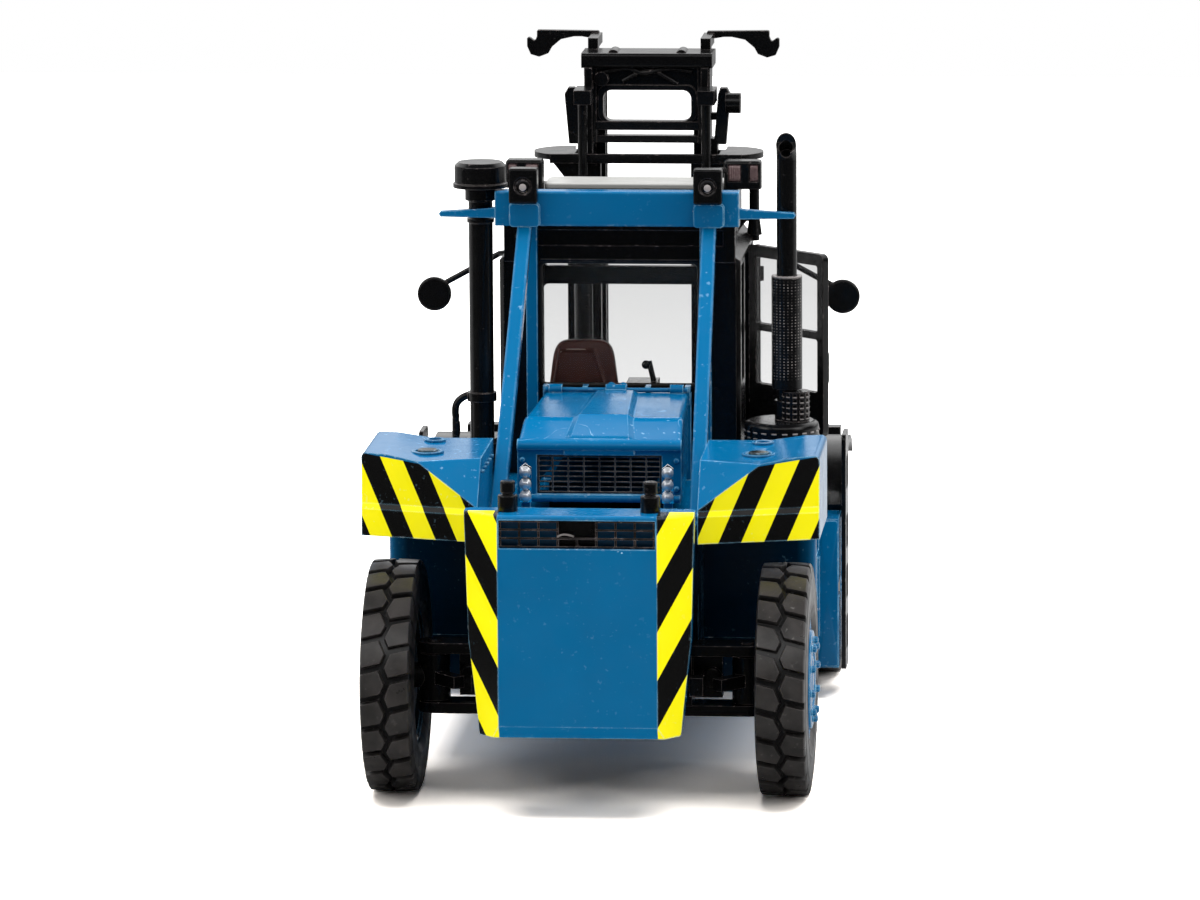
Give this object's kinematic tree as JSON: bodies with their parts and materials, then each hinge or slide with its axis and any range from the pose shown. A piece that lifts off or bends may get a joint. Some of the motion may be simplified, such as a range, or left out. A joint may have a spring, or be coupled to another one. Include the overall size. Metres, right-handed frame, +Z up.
{
  "type": "scale model heavy forklift truck",
  "caption": "Die-cast scale model of a heavy counterbalance forklift: striped tail, tilting and lifting mast, forks, steered rear wheels, opening doors and hood.",
  "frame": {"origin": "on the floor below the middle of the machine", "axes": "+Y forward towards the forks, +X to the machine's right, +Z up"},
  "size_m": [0.0612, 0.1747, 0.087],
  "materials": {
    "black_paint": "satin",
    "blue_paint": "gloss",
    "chrome": "polished",
    "clear_glass": "gloss",
    "cream_paint": "gloss",
    "rubber": "matte",
    "seat_vinyl": "satin"
  },
  "bodies": {
    "machine": {"air_intake_stack": "black_paint", "cab_controls": "black_paint", "cab_glass": "clear_glass", "cab_shell": "black_paint", "chassis": "blue_paint", "deck_knobs": "black_paint", "drive_axle": "black_paint", "engine_block": "black_paint", "exhaust_shield": "black_paint", "exhaust_stack": "black_paint", "filler_caps": "black_paint", "guard_frame": "blue_paint", "left_front_fender": "black_paint", "left_guard_strut": "blue_paint", "left_mirror": "black_paint", "left_rear_fender": "blue_paint", "left_side_tank": "blue_paint", "muffler": "black_paint", "operator_seat": "seat_vinyl", "right_front_fender": "black_paint", "right_guard_strut": "blue_paint", "right_mirror": "black_paint", "right_rear_fender": "blue_paint", "right_side_tank": "blue_paint", "roof_lamps": "black_paint", "roof_panel": "cream_paint", "steer_axle": "black_paint", "tail_counterweight": "blue_paint", "tail_grille": "black_paint", "tail_lamps": "chrome", "work_lamps": "black_paint"},
    "hood_lid": {"hood": "blue_paint", "hood_grille": "black_paint"},
    "left_door": {"left_door": "black_paint", "left_door_glass": "clear_glass"},
    "right_door": {"right_door": "black_paint", "right_door_glass": "clear_glass"},
    "left_steer": {"left_knuckle": "black_paint"},
    "right_steer": {"right_knuckle": "black_paint"},
    "steer_rod": {"steer_rod": "black_paint"},
    "left_rear_wheel": {"left_rear_tyre": "rubber", "left_rear_rim": "blue_paint"},
    "right_rear_wheel": {"right_rear_tyre": "rubber", "right_rear_rim": "blue_paint"},
    "left_front_wheel": {"left_front_tyres": "rubber", "left_front_rim": "blue_paint"},
    "right_front_wheel": {"right_front_tyres": "rubber", "right_front_rim": "blue_paint"},
    "mast": {"outer_mast": "black_paint"},
    "inner_mast": {"inner_mast": "black_paint", "lift_rods": "black_paint"},
    "carriage": {"carriage": "black_paint"},
    "left_fork": {"left_fork": "black_paint"},
    "right_fork": {"right_fork": "black_paint"},
    "tilt_barrels": {"tilt_barrels": "black_paint"},
    "tilt_rods": {"tilt_rods": "chrome"}
  },
  "joints": [
    {"name": "left_steering", "type": "hinge", "parent": "machine", "child": "left_steer", "pos_m": [-0.0202, -0.0695, 0.015], "axis": [0, 0, 1], "range_deg": [-28, 28]},
    {"name": "right_steering", "type": "hinge", "parent": "machine", "child": "right_steer", "pos_m": [0.0202, -0.0695, 0.015], "axis": [0, 0, 1], "range_deg": [-28, 28]},
    {"name": "steer_rod_travel", "type": "slide", "parent": "machine", "child": "steer_rod", "axis": [1, 0, 0], "range_m": [-0.0024, 0.0024]},
    {"name": "left_rear_wheel_spin", "type": "hinge", "parent": "left_steer", "child": "left_rear_wheel", "pos_m": [-0.0252, -0.0695, 0.015], "axis": [1, 0, 0], "continuous": true},
    {"name": "right_rear_wheel_spin", "type": "hinge", "parent": "right_steer", "child": "right_rear_wheel", "pos_m": [0.0252, -0.0695, 0.015], "axis": [1, 0, 0], "continuous": true},
    {"name": "left_front_wheel_spin", "type": "hinge", "parent": "machine", "child": "left_front_wheel", "pos_m": [-0.0207, 0.0135, 0.015], "axis": [1, 0, 0], "continuous": true},
    {"name": "right_front_wheel_spin", "type": "hinge", "parent": "machine", "child": "right_front_wheel", "pos_m": [0.0207, 0.0135, 0.015], "axis": [1, 0, 0], "continuous": true},
    {"name": "mast_tilt", "type": "hinge", "parent": "machine", "child": "mast", "pos_m": [0, 0.021, 0.009], "axis": [1, 0, 0], "range_deg": [-5, 8]},
    {"name": "mast_lift", "type": "slide", "parent": "mast", "child": "inner_mast", "axis": [0, 0, 1], "range_m": [0, 0.052]},
    {"name": "carriage_lift", "type": "slide", "parent": "inner_mast", "child": "carriage", "axis": [0, 0, 1], "range_m": [0, 0.048]},
    {"name": "left_fork_shift", "type": "slide", "parent": "carriage", "child": "left_fork", "axis": [-1, 0, 0], "range_m": [-0.003, 0.009]},
    {"name": "right_fork_shift", "type": "slide", "parent": "carriage", "child": "right_fork", "axis": [1, 0, 0], "range_m": [-0.003, 0.009]},
    {"name": "tilt_cylinder_swing", "type": "hinge", "parent": "machine", "child": "tilt_barrels", "pos_m": [0, 0.0084, 0.026], "axis": [1, 0, 0], "range_deg": [-3, 3]},
    {"name": "tilt_cylinder_stroke", "type": "slide", "parent": "tilt_barrels", "child": "tilt_rods", "axis": [0, 0.9948, 0.1015], "range_m": [-0.0027, 0.0018]},
    {"name": "hood_lift", "type": "hinge", "parent": "machine", "child": "hood_lid", "pos_m": [0, -0.0289, 0.04595], "axis": [-1, 0, 0], "range_deg": [0, 40]},
    {"name": "left_door_swing", "type": "hinge", "parent": "machine", "child": "left_door", "pos_m": [-0.0168, 0.0015, 0.048], "axis": [0, 0, -1], "range_deg": [0, 80]},
    {"name": "right_door_swing", "type": "hinge", "parent": "machine", "child": "right_door", "pos_m": [0.0168, 0.0015, 0.048], "axis": [0, 0, 1], "range_deg": [-46, 34]}
  ],
  "couplings": [
    {"joint": "right_steering", "follows": "left_steering", "ratio": 1},
    {"joint": "steer_rod_travel", "follows": "left_steering", "m_per_rad": 0.0046},
    {"joint": "tilt_cylinder_swing", "follows": "mast_tilt", "ratio": -0.2},
    {"joint": "tilt_cylinder_stroke", "follows": "mast_tilt", "m_per_rad": -0.0181},
    {"joint": "carriage_lift", "follows": "mast_lift", "ratio": 0.92308}
  ]
}
